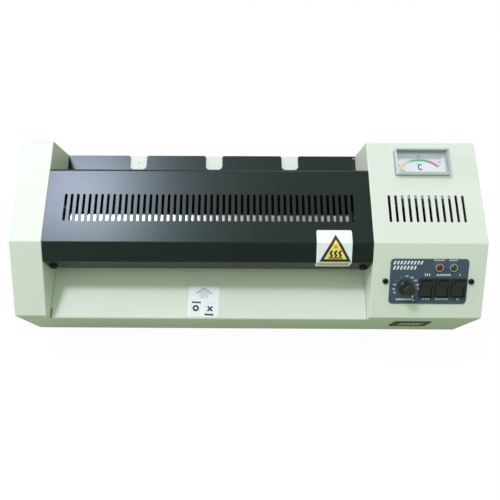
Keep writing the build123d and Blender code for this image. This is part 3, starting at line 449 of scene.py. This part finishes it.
def numerals(name, face, marks, size, material, lift=0.02):
    """Dial numbers, each given as (text, x, y), joined into one mesh."""
    joined = bmesh.new()
    for text, x, y in marks:
        curve = bpy.data.curves.new("numeral", "FONT")
        curve.body = text
        curve.size = size * MM
        curve.align_x = "CENTER"
        curve.align_y = "CENTER"
        curve.extrude = INK_THICK * MM / 2
        curve.offset = 0.012 * size * MM
        letter = bpy.data.objects.new("numeral", curve)
        bpy.context.scene.collection.objects.link(letter)
        bpy.context.view_layer.update()
        data = bpy.data.meshes.new_from_object(letter.evaluated_get(bpy.context.evaluated_depsgraph_get()))
        data.transform(face.matrix(x, y, lift + INK_THICK / 2))
        joined.from_mesh(data)
        bpy.data.objects.remove(letter)
        bpy.data.curves.remove(curve)
        bpy.data.meshes.remove(data)
    return place(mesh_object(name, joined, material), "machine")


# ------------------------------------------------------------------ control panel print
left = -PANEL_W / 2
top = PANEL_H / 2
TITLE_H, TITLE_SLANT = 3.9, 1.5
title = Print(panel)
for inset, drop, width, count in ((2.4, 4.2, 31.6, 9), (2.2, 9.7, 25.2, 7)):
    title.strokes(left + inset, top - drop, width, TITLE_H, count, slant=TITLE_SLANT)
title.build("panel_title_bars", ink_white)

DIAL_TEXT = 2.7
DIAL_RING = 12.4
DIAL_SHIFT = (0.1, -0.5)
LOW_MARK, MARK_STEP = 80, 10
MARK_ANGLES = (206, 188, 165, 141, 118, 88, 62, 39, 15)
WORN = (3, 4)
marks = []
for i, angle in enumerate(MARK_ANGLES):
    turn = math.radians(angle)
    mark_x = knob_x + DIAL_SHIFT[0] + DIAL_RING * math.cos(turn)
    mark_y = knob_y + DIAL_SHIFT[1] + DIAL_RING * math.sin(turn)
    marks.append((str(LOW_MARK + MARK_STEP * i), mark_x, mark_y))
faint_marks = [marks[i] for i in WORN]
clear_marks = [mark for mark in marks if mark not in faint_marks]
numerals("knob_numerals", panel, clear_marks, DIAL_TEXT, ink_white)
numerals("knob_numerals_worn", panel, faint_marks, DIAL_TEXT, ink_worn)

# Symbols stand where the switches and lamps have captions: waves for heat, a snowflake
# row for cold, arrow heads for the feed directions, I and O for power.
symbols = Print(panel)
SWITCH_LEVEL = on_panel("switch_housings")[1] + 3.3
ABOVE, BELOW = SWITCH_LEVEL + 12.5, SWITCH_LEVEL - 13.9
STROKE = 0.78
WAVE_PITCH, WAVE_SWAY = 2.2, 0.35
FLAKE_PITCH, FLAKE_W, FLAKE_STROKE = 2.9, 2.3, 0.5
heat_x = on_panel("heat_rocker")[0]
for i in (-1, 0, 1):
    mid = heat_x + i * WAVE_PITCH
    wave = [(mid + WAVE_SWAY * math.sin(t * 1.6), ABOVE - 1.0 + t * 0.5) for t in range(5)]
    symbols.line(wave, STROKE)
    for turn in (0, 60, 120):
        symbols.bar(heat_x + i * FLAKE_PITCH, BELOW, FLAKE_W, FLAKE_STROKE, turn=turn)
ARROWS, ARROW_H = 5, 1.7
way_x = on_panel("direction_rocker")[0]
symbols.chevrons(way_x, ABOVE, 15.0, ARROW_H, ARROWS, STROKE)
symbols.chevrons(way_x, BELOW, 14.5, ARROW_H, ARROWS, STROKE, way=-1)
power_x = on_panel("power_rocker")[0]
symbols.bar(power_x, ABOVE, 0.8, 2.0)
symbols.ring(power_x, BELOW, 0.95, 0.6, steps=20)
LAMP_CAPTION = 7.3
LAMP_DOT_PITCH, LAMP_DOT_R, LAMP_DOT_STROKE = 2.3, 0.6, 0.42
for node, count in (("red_lens", 5), ("green_lens", 4)):
    lamp_x, lamp_y = on_panel(node)
    for i in range(count):
        dot_x = lamp_x + (i - (count - 1) / 2) * LAMP_DOT_PITCH
        symbols.ring(dot_x, lamp_y + LAMP_CAPTION, LAMP_DOT_R, LAMP_DOT_STROKE, steps=12)
# A dashed caption under the knob, with a foot mark at its right, and a pale stroke by the
# switches that is a painted highlight of a lit switch edge.
CAPTION_LEFT, CAPTION_RIGHT = -9.5, 7.1
CAPTION_DROP = 13.3
DASHES, DASH_W, DASH_H = 10, 1.15, 1.5
for i in range(DASHES):
    dash_x = knob_x + CAPTION_LEFT + (i + 0.5) * (CAPTION_RIGHT - CAPTION_LEFT) / DASHES
    symbols.bar(dash_x, knob_y - CAPTION_DROP, DASH_W, DASH_H)
symbols.bar(knob_x + 8.1, knob_y - 9.9, 1.2, 3.4)
symbols.ring(knob_x + 8.9, knob_y - CAPTION_DROP - 0.6, 0.7, 0.4, steps=12)
# Painted highlight: a pale stroke where the first switch housing's edge catches the light.
symbols.bar(knob_x + 13.2, knob_y - 1.1, 0.7, 2.8, turn=32)
symbols.build("panel_symbols_and_highlight", ink_white)

# The pointer is a short pale line up the foot of the knob's cone.
POINTER_ANGLE = math.radians(134)
POINTER_R, POINTER_RISE = 7.25, 5.6
out = RIGHT * math.cos(POINTER_ANGLE) + panel_up * math.sin(POINTER_ANGLE)
side = RIGHT * -math.sin(POINTER_ANGLE) + panel_up * math.cos(POINTER_ANGLE)
foot_of_cone = panel.at(knob_x, knob_y, POINTER_RISE) + out * POINTER_R * MM
flank = Face(foot_of_cone, side, (panel.normal - out * 0.14).normalized())
pointer = Print(flank)
pointer.bar(0, 0, 1.5, 2.4)
pointer.build("knob_pointer", ink_worn, body="knob")

# ------------------------------------------------------------------ temperature meter
ARC_R = 28.4
ARC_W = 2.2
ARC_START, ARC_END = 136.0, 46.0
zones = ((ink_straw, 0.0, 0.28), (ink_green, 0.28, 0.70), (ink_red, 0.70, 1.0))
for number, (ink, low, high) in enumerate(zones):
    band = Print(dial)
    spread = ARC_END - ARC_START
    band.ring(0, 0, ARC_R, ARC_W, ARC_START + spread * low, ARC_START + spread * high, steps=16)
    band.build(f"scale_zone_{number + 1}", ink)
ticks = Print(dial)
TICKS = 20
TICK_W, LONG_TICK, MIDDLE_TICK, SHORT_TICK = 0.45, 3.4, 1.6, 1.0
for i in range(TICKS + 1):
    angle = ARC_START + (ARC_END - ARC_START) * i / TICKS
    length = SHORT_TICK
    if i % 5 == 0:
        length = MIDDLE_TICK
    if i % 10 == 0:
        length = LONG_TICK
    reach = ARC_R + ARC_W / 2 + 0.1 + length / 2
    turn = math.radians(angle)
    ticks.bar(reach * math.cos(turn), reach * math.sin(turn), length, TICK_W, turn=angle)
ticks.build("scale_ticks", ink_slate)
unit = Print(dial)
UNIT_X, UNIT_Y = 0.3, 20.2
UNIT_HALF_W, UNIT_HALF_H = 2.07, 3.15
UNIT_STROKE = 1.35
UNIT_OPENING, UNIT_STEPS = 50, 22
unit_curve = []
for i in range(UNIT_STEPS + 1):
    turn = math.radians(UNIT_OPENING + (360 - 2 * UNIT_OPENING) * i / UNIT_STEPS)
    unit_curve.append((UNIT_X + UNIT_HALF_W * math.cos(turn), UNIT_Y + UNIT_HALF_H * math.sin(turn)))
unit.line(unit_curve, UNIT_STROKE)
unit.ring(UNIT_X - 3.1, UNIT_Y + 3.7, 0.45, 0.35, steps=12)
unit.build("scale_unit", ink_slate)

# A white bevel leads from the dial up to the window's back and right walls.
WINDOW_WALL, WALL_GAP = 1.2, 0.1
BEVEL_BACK, BEVEL_RIGHT = 4.2, 3.4
window_low, window_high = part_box("meter_cover")
window_left = (window_low.x - dial.origin.x) / MM + WINDOW_WALL + WALL_GAP
window_right = (window_high.x - dial.origin.x) / MM - WINDOW_WALL - WALL_GAP
window_front = (window_low.y - dial.origin.y) / MM + WINDOW_WALL + WALL_GAP
window_back = (window_high.y - dial.origin.y) / MM - WINDOW_WALL - WALL_GAP
BEVEL_RISE = (window_low.z - dial.origin.z) / MM + 0.2
back_bevel = Face(dial.at(0, window_back - BEVEL_BACK), RIGHT, (0, BEVEL_BACK, BEVEL_RISE))
right_bevel = Face(
    dial.at(window_right - BEVEL_RIGHT, (window_front + window_back) / 2),
    (BEVEL_RIGHT, 0, BEVEL_RISE), (0, 1, 0),
)
back_reach = math.hypot(BEVEL_BACK, BEVEL_RISE)
right_reach = math.hypot(BEVEL_RIGHT, BEVEL_RISE)
window_mid = (window_left + window_right) / 2
window_w = window_right - window_left
window_l = window_back - window_front
for name, face, width, height, mid_x, mid_y in (
    ("back", back_bevel, window_w, back_reach, window_mid, back_reach / 2),
    ("right", right_bevel, right_reach, window_l, right_reach / 2, 0),
):
    bevel = Print(face, lift=0.05)
    bevel.bar(mid_x, mid_y, width, height)
    bevel_piece = bevel.build(f"dial_bevel_{name}", dial_card)
    bevel_piece.visible_shadow = False

# The middle number stands on the back bevel, the outer ones on the dial itself. The long
# one is moved in and up, clear of the right bevel and of its own tick.
NUMBER_R = ARC_R + 5.2
NUMBER_SIZE = 2.8
outer_marks = []
for text, angle, inwards in (("0", ARC_START, 0.0), ("200", ARC_END, 1.8)):
    turn = math.radians(angle)
    number_x = NUMBER_R * math.cos(turn) - inwards
    number_y = NUMBER_R * math.sin(turn) + inwards
    outer_marks.append((text, number_x, number_y))
middle_mark = [("100", -1.6, 2.6)]
numerals("scale_numbers", dial, outer_marks, NUMBER_SIZE, ink_grey)
numerals("scale_number_middle", back_bevel, middle_mark, NUMBER_SIZE, ink_grey, lift=0.12)

# The window's back wall, seen edge on through its top, is drawn as a dark strip: painted shade
# and reflection, which casts no shadow and lights nothing.
back = Face(
    ((window_low.x + window_high.x) / 2, window_high.y - (WINDOW_WALL + 0.15) * MM, window_low.z),
    RIGHT, UP,
)
STRIP_H, STRIP_GAP = 7.0, 0.4
strip = Print(back)
strip.bar(0, STRIP_H / 2 + STRIP_GAP, window_w - STRIP_GAP, STRIP_H)
strip_piece = strip.build("window_back_painted_shade", painted_shade_tint)
strip_piece.visible_shadow = False
strip_piece.visible_diffuse = False

# ------------------------------------------------------------------ labels and badge
feed_low, feed_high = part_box("feed_label")
feed_turn = math.radians(-2.0)
feed = Face(
    ((feed_low.x + feed_high.x) / 2, (feed_low.y + feed_high.y) / 2, feed_high.z),
    (math.cos(feed_turn), math.sin(feed_turn), 0),
    (-math.sin(feed_turn), math.cos(feed_turn), 0),
)
ROOF = [(-9.1, 8.6), (0, 15.2), (9.1, 8.6)]
STEM_W, STEM_FOOT = 10.0, 4.1
feed_arrow = Print(feed)
feed_arrow.shape([ROOF[0], ROOF[2], ROOF[1]])
feed_arrow.bar(0, (ROOF[0][1] + STEM_FOOT) / 2, STEM_W, ROOF[0][1] - STEM_FOOT)
feed_arrow.build("feed_arrow", ink_pale)
outline = Print(feed, lift=0.08)
outline.line(ROOF, 0.75)
outline.build("feed_roof", ink_grey)
faint = Print(feed, lift=0.08)
stem_side, stem_top = STEM_W / 2, ROOF[0][1]
stem = [(-stem_side, stem_top), (-stem_side, STEM_FOOT), (stem_side, STEM_FOOT), (stem_side, stem_top)]
faint.line(stem, 0.4)
faint.line([(-12.6, -3.5), (-13.6, -13.5), (-4.5, -14.5), (-3.0, -3.0)], 0.3)
faint.line([(2.0, -1.2), (14.0, -2.2), (11.6, -12.5), (2.6, -12.5), (2.0, -1.2)], 0.3)
faint.build("feed_sheets", ink_pale)
feed_marks = Print(feed, lift=0.08)
O_X, X_X, MARK_Y = -8.2, 7.5, -8.0
feed_marks.bar(O_X + 0.3, -1.4, 9.8, 1.7)
feed_marks.ring(O_X, MARK_Y, 2.55, 2.0, steps=28)
for turn in (45, -45):
    feed_marks.bar(X_X, MARK_Y, 7.4, 1.9, turn=turn)
feed_marks.bar(X_X - 0.7, -14.6, 9.8, 1.9)
feed_marks.build("feed_symbols", ink_black)

# The heat label follows the cover over its ridge, so each of its flats is its own face.
heat_low, heat_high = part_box("heat_label")
heat_mid_x = (heat_low.x + heat_high.x) / 2
HEAT_W = (heat_high.x - heat_low.x) / MM
ridge_y = panel.origin.y + panel_up.y * (heat_high.z - panel.origin.z) / panel_up.z
label_flat = Face((heat_mid_x, ridge_y, heat_high.z), RIGHT, (0, 1, 0))
label_slope = Face((heat_mid_x, ridge_y, heat_high.z), RIGHT, panel_up)
label_drop = Face((heat_mid_x, heat_low.y, heat_low.z), RIGHT, UP)

TRI_TOP, TRI_FOOT, TRI_W = 10.3, -18.9, 33.0
TRI_X = 1.2
TRI_BORDER = 2.7


def triangle(inset):
    """The sign's outline, moved inwards: foot level, top level and half width at the foot."""
    slope_length = math.hypot(TRI_W / 2, TRI_TOP - TRI_FOOT)
    foot = TRI_FOOT + inset
    top_level = TRI_TOP - inset * slope_length / (TRI_W / 2)
    half = (TRI_W / 2) * (top_level - foot) / (TRI_TOP - TRI_FOOT)
    return foot, top_level, half


def sign(ink, name, inset, lift):
    """A triangle bent over the ridge: its tip on the flat top, its foot on the slope."""
    foot, top_level, half = triangle(inset)
    cut = half * top_level / (top_level - foot)
    tip = Print(label_flat, lift=lift)
    tip.shape([(TRI_X - cut, 0), (TRI_X + cut, 0), (TRI_X, top_level)])
    tip.build(f"{name}_tip", ink)
    body = Print(label_slope, lift=lift)
    body.shape([(TRI_X - half, foot), (TRI_X + half, foot), (TRI_X + cut, 0), (TRI_X - cut, 0)])
    body.build(f"{name}_body", ink)


sign(ink_black, "sign_border", 0.0, 0.02)
sign(ink_yellow, "sign_field", TRI_BORDER, 0.10)
warmth = Print(label_slope, lift=0.18)
for i in (-1, 0, 1):
    wave = [(TRI_X + i * 4.6 + 0.9 * math.sin(t * 1.3), -13.4 + t * 1.0) for t in range(7)]
    warmth.line(wave, 1.9)
warmth.bar(TRI_X, -14.9, 14.5, 1.2)
warmth.build("sign_heat_waves", ink_black)
glow = Print(label_slope, lift=0.18)
glow.ring(TRI_X, -3.2, 0.9, 1.6, steps=20)
glow.build("sign_heat_spot", ink_orange)
inset_line = Print(label_flat)
BORDER = 1.8
border_x = HEAT_W / 2 - BORDER
border_y = (heat_high.y - ridge_y) / MM - BORDER
inset_line.line([(-border_x, 0), (-border_x, border_y), (border_x, border_y), (border_x, 0)], 0.3)
inset_line.build("label_inner_line", ink_pale)
stripe = Print(label_drop)
STRIPE_LOW, STRIPE_HIGH, STRIPE_INSET = 5.0, 11.6, 2.6
stripe.bar(0, (STRIPE_LOW + STRIPE_HIGH) / 2, HEAT_W - 2 * STRIPE_INSET, STRIPE_HIGH - STRIPE_LOW)
stripe.build("label_stripe", ink_gold)

badge_low, badge_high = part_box("badge_plate")
badge = Face(
    ((badge_low.x + badge_high.x) / 2, badge_low.y, (badge_low.z + badge_high.z) / 2), RIGHT, UP
)
BADGE_H = (badge_high.z - badge_low.z) / MM
emblem = Print(badge)
BADGE_BARS, BAR_PITCH, BAR_W, BAR_SLANT = 5, 5.2, 3.0, 3.5
BAR_LEVEL, BAR_H = 1.5, BADGE_H * 0.42
for i in range(BADGE_BARS):
    emblem.bar((i - (BADGE_BARS - 1) / 2) * BAR_PITCH, BAR_LEVEL, BAR_W, BAR_H, slant=BAR_SLANT)
emblem.build("badge_bars", ink_badge)


# ------------------------------------------------------------------ small hardware
def rivet(name, x, y, z, radius, metal):
    """Domed rivet head, a lathe of a shallow arc."""
    mesh = bmesh.new()
    steps, rings = 24, 5
    rim = []
    for r in range(rings):
        lift = math.sin(math.pi / 2 * r / (rings - 1)) * radius * 0.55
        wide = math.cos(math.pi / 2 * r / (rings - 1)) * radius * 0.96 + radius * 0.04
        circle = []
        for i in range(steps):
            turn = 2 * math.pi * i / steps
            circle.append(mesh.verts.new((x + wide * math.cos(turn), y + wide * math.sin(turn), z + lift)))
        rim.append(circle)
    for lower, upper in zip(rim, rim[1:]):
        for i in range(steps):
            j = (i + 1) % steps
            mesh.faces.new((lower[i], lower[j], upper[j], upper[i]))
    mesh.faces.new(rim[-1])
    mesh.faces.new(rim[0][::-1])
    piece = mesh_object(name, mesh, metal)
    for face in piece.data.polygons:
        face.use_smooth = True
    return place(piece, "machine")


exit_low, exit_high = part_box("exit_plate")
RIVET_R = 1.3 * MM
RIVET_IN, RIVET_FORWARD = 1.8 * MM, 3.2 * MM
for side, x in (("left", exit_low.x + RIVET_IN), ("right", exit_high.x - RIVET_IN)):
    rivet(f"exit_rivet_{side}", x, exit_high.y - RIVET_FORWARD, exit_high.z, RIVET_R, zinc)
NOTCH_RIVET_X, NOTCH_RIVET_Y = -131.5 * MM, 91.0 * MM
rivet("panel_rivet", NOTCH_RIVET_X, NOTCH_RIVET_Y, exit_low.z, RIVET_R, bright)


# ------------------------------------------------------------------ studio
def white_to_camera(material, bounce, shadow_share):
    """Make a floor white in view, while it gives the object only a dim bounce."""
    tree, links = material.node_tree.nodes, material.node_tree.links
    path = tree.new("ShaderNodeLightPath")
    white = tree.new("ShaderNodeEmission")
    pale = tree.new("ShaderNodeBsdfDiffuse")
    socket_value(pale, "Color", (1, 1, 1, 1))
    dim = tree.new("ShaderNodeBsdfDiffuse")
    socket_value(dim, "Color", (*bounce, 1))
    seen = tree.new("ShaderNodeMixShader")
    socket_value(seen, "Fac", shadow_share)
    pick = tree.new("ShaderNodeMixShader")
    links.new(white.outputs["Emission"], seen.inputs[1])
    links.new(pale.outputs["BSDF"], seen.inputs[2])
    links.new(path.outputs["Is Camera Ray"], pick.inputs["Fac"])
    links.new(dim.outputs["BSDF"], pick.inputs[1])
    links.new(seen.outputs["Shader"], pick.inputs[2])
    links.new(pick.outputs["Shader"], tree["Material Output"].inputs["Surface"])


FLOOR_BOUNCE = (0.29, 0.365, 0.235)
FLOOR_SHADOW = 0.04
FLOOR_HALF = 4.0
floor_material = surface(
    "studio_floor", (0.93, 0.93, 0.93), roughness=0.9, vary=0.005,
    grain=40, bump=0.0,
)
white_to_camera(floor_material, FLOOR_BOUNCE, FLOOR_SHADOW)
floor_mesh = bmesh.new()
bmesh.ops.create_grid(floor_mesh, x_segments=1, y_segments=1, size=FLOOR_HALF)
bmesh.ops.translate(floor_mesh, verts=floor_mesh.verts, vec=(0, 0, cad_box[0][2]))
floor = mesh_object("studio_floor", floor_mesh, floor_material)


LIGHT_TARGET = Vector((0, 0, 0.08))


def soft_light(name, direction, distance, size, power, colour):
    """A rectangular area light that faces the object from a direction."""
    light = bpy.data.lights.new(name, "AREA")
    light.shape = "RECTANGLE"
    light.size, light.size_y = size
    light.energy = power
    light.color = colour
    lamp = bpy.data.objects.new(name, light)
    away = Vector(direction).normalized()
    lamp.location = LIGHT_TARGET + away * distance
    lamp.rotation_euler = away.to_track_quat("Z", "Y").to_euler()
    bpy.context.scene.collection.objects.link(lamp)


# The key is a far window behind and to the left, made of panes; each stands at x/z, y/z.
PANE_W, PANE_H = 0.15, 0.11
WINDOW_AWAY = 4.0
PANE_POWER = 46.5
panes = (
    ("window_left_low", -0.50, 0.42, (0.34, 0.29, 0.40)),
    ("window_left_high", -0.50, 0.52, (0.14, 0.10, 0.15)),
    ("window_right_low", -0.36, 0.42, (0.58, 0.68, 0.68)),
    ("window_right_middle", -0.36, 0.51, (0.32, 0.31, 0.39)),
    ("window_right_high", -0.36, 0.60, (0.15, 0.09, 0.13)),
)
for name, across, behind, colour in panes:
    rise = WINDOW_AWAY / math.sqrt(across ** 2 + behind ** 2 + 1)
    pane_size = (PANE_W * rise, PANE_H * rise)
    soft_light(name, (across, behind, 1), WINDOW_AWAY, pane_size, PANE_POWER, colour)

soft_light("back_sky", (0.15, 1.25, 1.0), 3.0, (1.2, 0.5), 14.0, (0.75, 0.60, 0.95))
soft_light("left_wall", (-1.0, 0.25, 0.28), 2.5, (0.8, 0.2), 15.0, (1.0, 0.92, 1.05))

world = bpy.data.worlds.new("studio_air")
world.use_nodes = True
air, air_links = world.node_tree.nodes, world.node_tree.links
ambient = air["Background"]
ambient.inputs["Color"].default_value = (0.85, 1.0, 0.785, 1)
AIR_STRENGTH = 0.735
# Whoever holds the camera leaves a dimmer patch of air in front of the object.
DIM_WAY = Vector((0.15, -0.77, 0.62)).normalized()
DIM_SPREAD, DIM_DEPTH = 9.0, 0.55
way = air.new("ShaderNodeTexCoord")
facing = air.new("ShaderNodeVectorMath")
facing.operation = "DOT_PRODUCT"
facing.inputs[1].default_value = DIM_WAY
air_links.new(way.outputs["Generated"], facing.inputs[0])
last = facing.outputs["Value"]
for operation, value in (
    ("MAXIMUM", 0.0), ("POWER", DIM_SPREAD), ("MULTIPLY", -DIM_DEPTH * AIR_STRENGTH),
    ("ADD", AIR_STRENGTH),
):
    step = air.new("ShaderNodeMath")
    step.operation = operation
    step.inputs[1].default_value = value
    air_links.new(last, step.inputs[0])
    last = step.outputs["Value"]
air_links.new(last, ambient.inputs["Strength"])
backdrop = air.new("ShaderNodeBackground")
backdrop.inputs["Color"].default_value = (1, 1, 1, 1)
view_path = air.new("ShaderNodeLightPath")
air_mix = air.new("ShaderNodeMixShader")
air_links.new(view_path.outputs["Is Camera Ray"], air_mix.inputs["Fac"])
air_links.new(ambient.outputs["Background"], air_mix.inputs[1])
air_links.new(backdrop.outputs["Background"], air_mix.inputs[2])
air_links.new(air_mix.outputs["Shader"], air["World Output"].inputs["Surface"])
bpy.context.scene.world = world
bpy.context.scene.view_settings.view_transform = "Standard"

# The camera stands in front of the feed side and looks down at 72 degrees.
CAMERA_PLACE = (-0.01188, -0.20063, 0.62641)
CAMERA_TURN = math.radians(0.889)
CAMERA_TILT = math.radians(17.82)
CAMERA_ROLL = math.radians(-0.562)
LENS_TO_WIDTH = 1.0258
FRAME_SHIFT = (0.0315, 0.0017)
camera_data = bpy.data.cameras.new("camera")
camera_data.sensor_width = 36.0
camera_data.lens = camera_data.sensor_width * LENS_TO_WIDTH
camera_data.shift_x, camera_data.shift_y = FRAME_SHIFT
camera_data.clip_start = 0.02
camera = bpy.data.objects.new("camera", camera_data)
camera.matrix_world = (
    Matrix.Translation(CAMERA_PLACE)
    @ Matrix.Rotation(CAMERA_TURN, 4, "Z")
    @ Matrix.Rotation(CAMERA_TILT, 4, "X")
    @ Matrix.Rotation(CAMERA_ROLL, 4, "Z")
)
bpy.context.scene.collection.objects.link(camera)
bpy.context.scene.camera = camera

bpy.context.view_layer.update()
